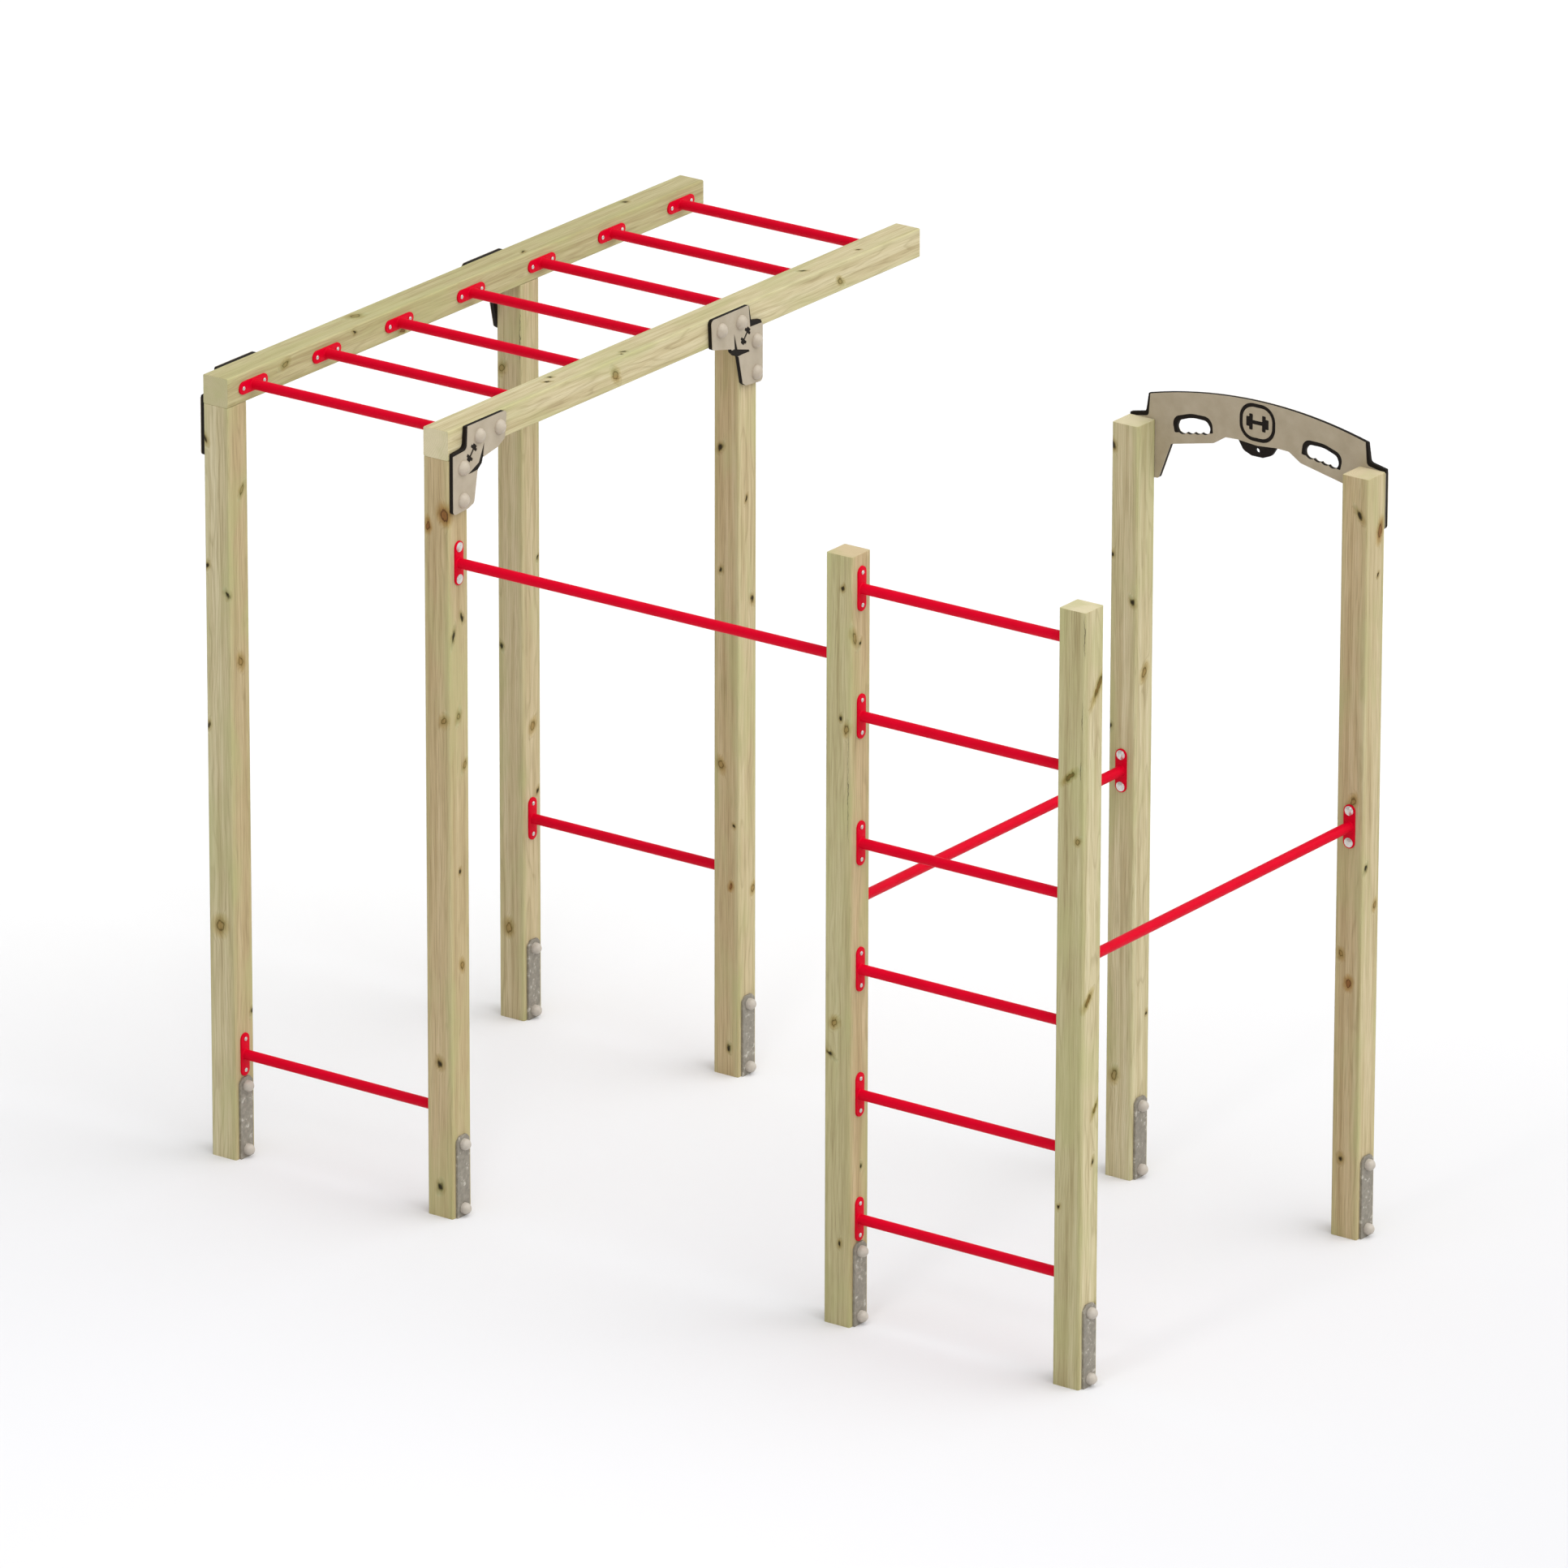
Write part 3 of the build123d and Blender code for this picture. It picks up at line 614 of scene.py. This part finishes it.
def bar_surface(start, finish):
    """A tube between two points: radius r along it, and at each end a collar whose radius is
    r + rise (1 - sin) over a quarter turn, like the concave face of a fillet weld."""
    u, v, d = axes_for(np.subtract(finish, start))
    length = np.linalg.norm(np.subtract(finish, start))
    turn = np.linspace(0, math.pi / 2, 5)
    reach = weld_rise * (1 - np.cos(turn))
    swell = weld_rise * (1 - np.sin(turn))
    along = np.concatenate([reach, length - reach[::-1]])
    radii = tube_radius + np.concatenate([swell, swell[::-1]])
    angle = np.linspace(0, 2 * math.pi, 48, endpoint=False)
    across = np.cos(angle)[:, None] * u + np.sin(angle)[:, None] * v
    points = start + along[:, None, None] * d + radii[:, None, None] * across
    return points, ring_faces(len(along), len(angle))


bar_names = [name for name in nodes if name.split("_")[-1].isdigit() and "rung" in name]
bar_names += ["low_bar", "mid_bar", "long_bar", "dip_bar_left", "dip_bar_right"]
for name in sorted(bar_names):
    low, high = (np.array(corner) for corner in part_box(name))
    middle = (low + high) / 2
    axis = int(np.argmax(high - low))
    start, finish = middle.copy(), middle.copy()
    start[axis], finish[axis] = low[axis], high[axis]
    points, faces = bar_surface(start, finish)
    bar = make_piece("painted_" + name, points, faces, red_coat)
    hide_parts(name)

# ------------------------------------------------------------------ end plates
# Flat bar with fully rounded ends, 5 mm thick, its edge eased by the powder coat.
plate_long = 138 * mm
plate_wide = 40 * mm
plate_thick = 5 * mm
edge_ease = 1.1 * mm


def stadium(half_straight, radius, steps):
    """A closed line of two straights and two half circles, as points across and along."""
    angle = np.linspace(-math.pi / 2, math.pi / 2, steps)
    right = np.stack([half_straight + radius * np.cos(angle), radius * np.sin(angle)], -1)
    return np.concatenate([right, -right])


def plate_surface(seat, along, out):
    """A plate on a seat: its stadium outline rises square and turns in over a quarter circle."""
    along, out = np.array(along, float), np.array(out, float)
    across = np.cross(out, along)
    turn = np.linspace(0, math.pi / 2, 4)
    inset = np.concatenate([[0], edge_ease * (1 - np.cos(turn))])
    height = np.concatenate([[0], plate_thick - edge_ease * (1 - np.sin(turn))])
    rings = []
    for step, rise in zip(inset, height):
        flat = stadium((plate_long - plate_wide) / 2, plate_wide / 2 - step, 14)
        rings.append(seat + flat[:, :1] * along + flat[:, 1:] * across + rise * out)
    points = np.array(rings)
    around = points.shape[1]
    faces = ring_faces(len(rings), around)
    faces.append(list(range((len(rings) - 1) * around, len(rings) * around)))
    faces.append(list(range(around))[::-1])
    return points, faces


def merged(surfaces):
    """Several surfaces as one: their points stacked and their faces renumbered."""
    points, faces, count = [], [], 0
    for some_points, some_faces in surfaces:
        flat = np.asarray(some_points).reshape(-1, 3)
        points.append(flat)
        faces += [[corner + count for corner in face] for face in some_faces]
        count += len(flat)
    return np.concatenate(points), faces


def loose_boxes(name):
    """Low and high corner of each separate solid in a CAD node, in order of place."""
    work = bmesh.new()
    work.from_mesh(nodes[name].data)
    bmesh.ops.remove_doubles(work, verts=work.verts, dist=0.01 * mm)
    left, boxes = set(work.verts), []
    while left:
        grown, waiting = set(), [left.pop()]
        while waiting:
            vert = waiting.pop()
            grown.add(vert)
            near = {link.other_vert(vert) for link in vert.link_edges} & left
            left -= near
            waiting += near
        corners = np.array([vert.co for vert in grown])
        boxes.append((corners.min(0), corners.max(0)))
    work.free()
    return sorted(boxes, key=lambda pair: tuple(np.round(pair[0], 4)))


def facing(box, body):
    """Which way a thin solid faces: along its thinnest side, away from the nearest timber."""
    low, high = box
    axis = int(np.argmin(high - low))
    out = np.zeros(3)
    out[axis] = 1.0 if (low + high)[axis] / 2 > body[axis] else -1.0
    return axis, out


timber_boxes = {name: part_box(name) for name in knots_of}


def nearest_timber(point):
    """The middle of the timber whose box is closest to a point."""
    best, found = None, None
    for low, high in timber_boxes.values():
        low, high = np.array(low), np.array(high)
        gap = np.linalg.norm(np.maximum(np.maximum(low - point, point - high), 0))
        if best is None or gap < best:
            best, found = gap, (low + high) / 2
    return found


plate_names = sorted(name for name in nodes if name.endswith("plates") or "_plates_" in name)
for name in plate_names:
    surfaces = []
    for low, high in loose_boxes(name):
        middle = (low + high) / 2
        axis, out = facing((low, high), nearest_timber(middle))
        seat = middle.copy()
        seat[axis] = low[axis] if out[axis] > 0 else high[axis]
        along = np.zeros(3)
        along[int(np.argmax(high - low))] = 1
        surfaces.append(plate_surface(seat, along, out))
    points, faces = merged(surfaces)
    plates = make_piece("painted_" + name, points, faces, red_coat, smooth_below=50)
    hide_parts(name)

# ------------------------------------------------------------------ screws and cup bolts
# Bright zinc plated steel. The screws are low pan heads with a six-lobed drive; the long bar and
# the dip bars have smooth cup head bolts on a thin washer.


def zinc_plate():
    """Zinc on cold formed steel: pale and half polished, in soft specks of about 3 mm."""
    made, tree, shader = new_material("bright_zinc_plate")
    speck = even_noise(tree, 3 * mm, 2.0)
    give_tones(tree, shader, speck, [(0.3, "#C9C7C2"), (0.7, "#E4E2DE")])
    give_roughness(tree, shader, speck, 0.2, 0.42)
    shader.inputs["Metallic"].default_value = 0.9
    return made


zinc = zinc_plate()


def turned_surface(seat, out, profile, around, lobes=None):
    """A profile of radius and height pairs turned about out. Lobes give each ring's radius a
    share of cos(6 angle), which cuts the drive."""
    u, v, d = axes_for(out)
    angle = np.linspace(0, 2 * math.pi, around, endpoint=False)
    profile = np.array(profile)
    wave = np.zeros(len(profile)) if lobes is None else np.array(lobes)
    radii = profile[:, :1] * (1 + wave[:, None] * np.cos(6 * angle))
    points = (
        np.asarray(seat)
        + profile[:, 1][:, None, None] * d
        + radii[..., None] * (np.cos(angle)[:, None] * u + np.sin(angle)[:, None] * v)
    )
    faces = ring_faces(len(profile), around)
    faces.append(list(range((len(profile) - 1) * around, len(profile) * around)))
    return points, faces


def dome_profile(radius, rim, height, steps):
    """An upright rim and then an arc of a circle up to the crown, which is left a small disc."""
    rise = height - rim
    sphere = (rise**2 + radius**2) / (2 * rise)
    steep = math.asin(min(radius / sphere, 1))
    turn = np.linspace(steep, 0.12 * steep, steps)
    arc = np.stack([sphere * np.sin(turn), height - sphere * (1 - np.cos(turn))], -1)
    return np.concatenate([[[radius, 0.0]], arc])


screw_radius = 6.5 * mm
screw_height = 3.5 * mm
screw_dome = dome_profile(screw_radius, 1.3 * mm, screw_height, 6)
drive_radius = 2.7 * mm
screw_profile = [pair for pair in screw_dome if pair[0] > drive_radius * 1.25]
screw_profile += [
    (drive_radius * 1.15, screw_height - 0.25 * mm),
    (drive_radius, screw_height - 0.5 * mm),
    (drive_radius * 0.9, screw_height - 1.9 * mm),
    (drive_radius * 0.3, screw_height - 2.2 * mm),
]
screw_lobes = [0] * (len(screw_profile) - 4) + [0.04, 0.17, 0.17, 0]

bolt_radius = 15 * mm
bolt_profile = np.concatenate(
    [
        [[bolt_radius, 0], [bolt_radius, 0.9 * mm], [bolt_radius - 0.5 * mm, 1.2 * mm]],
        dome_profile(bolt_radius - 1.6 * mm, 1.4 * mm, 5 * mm, 10)[1:],
    ]
)

for name, profile, lobes, around in (
    ("rung_screws", screw_profile, screw_lobes, 24),
    ("ladder_screws", screw_profile, screw_lobes, 24),
    ("cross_bar_screws", screw_profile, screw_lobes, 24),
    ("cup_bolts", bolt_profile, None, 36),
):
    head_radius = max(pair[0] for pair in profile)
    surfaces = []
    for low, high in loose_boxes(name):
        middle = (low + high) / 2
        axis = int(np.argmax(high - low))
        out = np.zeros(3)
        out[axis] = 1.0 if nearest_timber(middle)[axis] < middle[axis] else -1.0
        seat = middle.copy()
        height = max(pair[1] for pair in profile)
        seat[axis] = high[axis] - height if out[axis] > 0 else low[axis] + height
        surfaces.append(turned_surface(seat, out, profile, around, lobes))
    points, faces = merged(surfaces)
    heads = make_piece("zinc_" + name, points, faces, zinc, smooth_below=55)
    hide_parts(name)

# ------------------------------------------------------------------ sandwich panels
# Outdoor board of high density polyethylene in two colours: a black core with a thin skin of
# warm grey on both sides, routed so that the core shows. The cut edges are lightly eased.


def board_skin(name, light, dark):
    """Grained polyethylene: a satin surface with a fine moulded pebble of about 1.5 mm."""
    made, tree, shader = new_material(name)
    pebble = even_noise(tree, 1.5 * mm, 2.0)
    cloud = even_noise(tree, 45 * mm, 4.0)
    both = add_node(tree, "Math", {0: pebble, 1: 0.35, 2: cloud}, operation="MULTIPLY_ADD")
    give_tones(tree, shader, both.outputs[0], [(0.45, dark), (0.9, light)])
    shader.inputs["Roughness"].default_value = 0.55
    shader.inputs["Specular IOR Level"].default_value = 0.2
    give_relief(tree, shader, pebble, 0.25, 0.15 * mm)
    return made


def board_core():
    """The routed core: black polyethylene with the faint chatter of the cutter."""
    made, tree, shader = new_material("black_polyethylene_core")
    chatter = even_noise(tree, 4 * mm, 3.0)
    give_tones(tree, shader, chatter, [(0.3, "#14100C"), (0.7, "#211B16")])
    shader.inputs["Roughness"].default_value = 0.6
    shader.inputs["Specular IOR Level"].default_value = 0.12
    give_relief(tree, shader, chatter, 0.3, 0.3 * mm)
    return made


corner_skin = board_skin("warm_grey_polyethylene", "#B1A693", "#A59A86")
arch_skin = board_skin("taupe_polyethylene", "#AFA38C", "#A3977F")
core_black = board_core()
core_ease = 0.6 * mm
skin_ease = 0.7 * mm


def eased_copy(name, new_name, material, ease):
    """A copy of a CAD node with its triangles merged into whole faces and its edges rounded."""
    mesh = nodes[name].data.copy()
    mesh.name = new_name
    work = bmesh.new()
    work.from_mesh(mesh)
    bmesh.ops.remove_doubles(work, verts=work.verts, dist=0.01 * mm)
    bmesh.ops.dissolve_limit(
        work, angle_limit=math.radians(0.5), verts=work.verts, edges=work.edges
    )
    work.to_mesh(mesh)
    work.free()
    mesh.materials.clear()
    mesh.materials.append(material)
    mesh.shade_smooth()
    mesh.set_sharp_from_angle(angle=math.radians(35))
    piece = bpy.data.objects.new(new_name, mesh)
    bpy.context.scene.collection.objects.link(piece)
    rounding = piece.modifiers.new("eased_edges", "BEVEL")
    rounding.width = ease
    rounding.segments = 2
    rounding.limit_method = "ANGLE"
    rounding.angle_limit = math.radians(40)
    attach(piece, "root")
    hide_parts(name)
    return piece


for name in sorted(name for name in nodes if name.startswith("corner") and "caps" not in name):
    if name.endswith("core"):
        eased_copy(name, "routed_" + name, core_black, core_ease)
    else:
        eased_copy(name, "routed_" + name, corner_skin, skin_ease)
eased_copy("arch_core", "routed_arch_core", core_black, core_ease)
for name in ("arch_skin_front", "arch_skin_back"):
    eased_copy(name, "routed_" + name, arch_skin, skin_ease)

# ------------------------------------------------------------------ ground straps
# Hot-dip galvanised flat bar: dull grey with the zinc's own crystal patches and pale specks.


def galvanised():
    """Weathered zinc: patches of 6 to 12 mm in close greys, with small chalky spots."""
    made, tree, shader = new_material("hot_dip_galvanised_steel")
    where = add_node(tree, "TexCoord").outputs["Object"]
    crystal = add_node(tree, "TexVoronoi", {"Vector": where, "Scale": 1 / (9 * mm)})
    crystal_grey = add_node(tree, "SeparateColor", {0: crystal.outputs["Color"]}).outputs[0]
    cloud = even_noise(tree, 22 * mm, 4.0, 0.6)
    both = add_node(tree, "Math", {0: crystal_grey, 1: 0.3, 2: cloud}, operation="MULTIPLY_ADD")
    greys = [(0.4, "#827C71"), (0.62, "#8D877B"), (0.8, "#999386"), (0.88, "#BBB6AB")]
    give_tones(tree, shader, both.outputs[0], greys)
    give_roughness(tree, shader, both.outputs[0], 0.45, 0.75)
    shader.inputs["Metallic"].default_value = 0.35
    give_relief(tree, shader, cloud, 0.3, 0.3 * mm)
    return made


strap_zinc = galvanised()
strap_ease = 0.8 * mm
for name in sorted(name for name in nodes if name.startswith("foot_straps")):
    eased_copy(name, "galvanised_" + name, strap_zinc, strap_ease)

# ------------------------------------------------------------------ dome caps
# Moulded nylon caps that snap over the fixings: low wide ones on the panels, and higher round
# ones on the ground straps. Each has a short rim and a smooth satin crown.


def cap_nylon(name, light, dark):
    """Satin moulded nylon with a very slight unevenness of colour."""
    made, tree, shader = new_material(name)
    cloud = even_noise(tree, 14 * mm, 3.0)
    give_tones(tree, shader, cloud, [(0.3, dark), (0.7, light)])
    shader.inputs["Roughness"].default_value = 0.42
    shader.inputs["Specular IOR Level"].default_value = 0.4
    give_relief(tree, shader, cloud, 0.05, 0.5 * mm)
    return made


panel_caps = cap_nylon("warm_grey_nylon", "#B6AB9A", "#AEA391")
strap_caps = cap_nylon("grey_nylon", "#BAB2A6", "#AFA79B")
panel_rim = 3 * mm
strap_rim = 7 * mm
for name, material, slot, rim in (
    ("corner_caps", panel_caps, "cap_plastic", panel_rim),
    ("arch_caps", panel_caps, "cap_plastic", panel_rim),
    ("foot_caps", strap_caps, "foot_cap_plastic", strap_rim),
):
    surfaces = []
    for low, high in loose_boxes(name):
        middle = (low + high) / 2
        axis, out = facing((low, high), nearest_timber(middle))
        height = (high - low)[axis]
        radius = max(high - low) / 2
        seat = middle.copy()
        seat[axis] = low[axis] if out[axis] > 0 else high[axis]
        profile = dome_profile(radius, rim, height, 12)
        surfaces.append(turned_surface(seat, out, profile, 40))
    points, faces = merged(surfaces)
    caps = make_piece("moulded_" + name, points, faces, material)
    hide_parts(name)
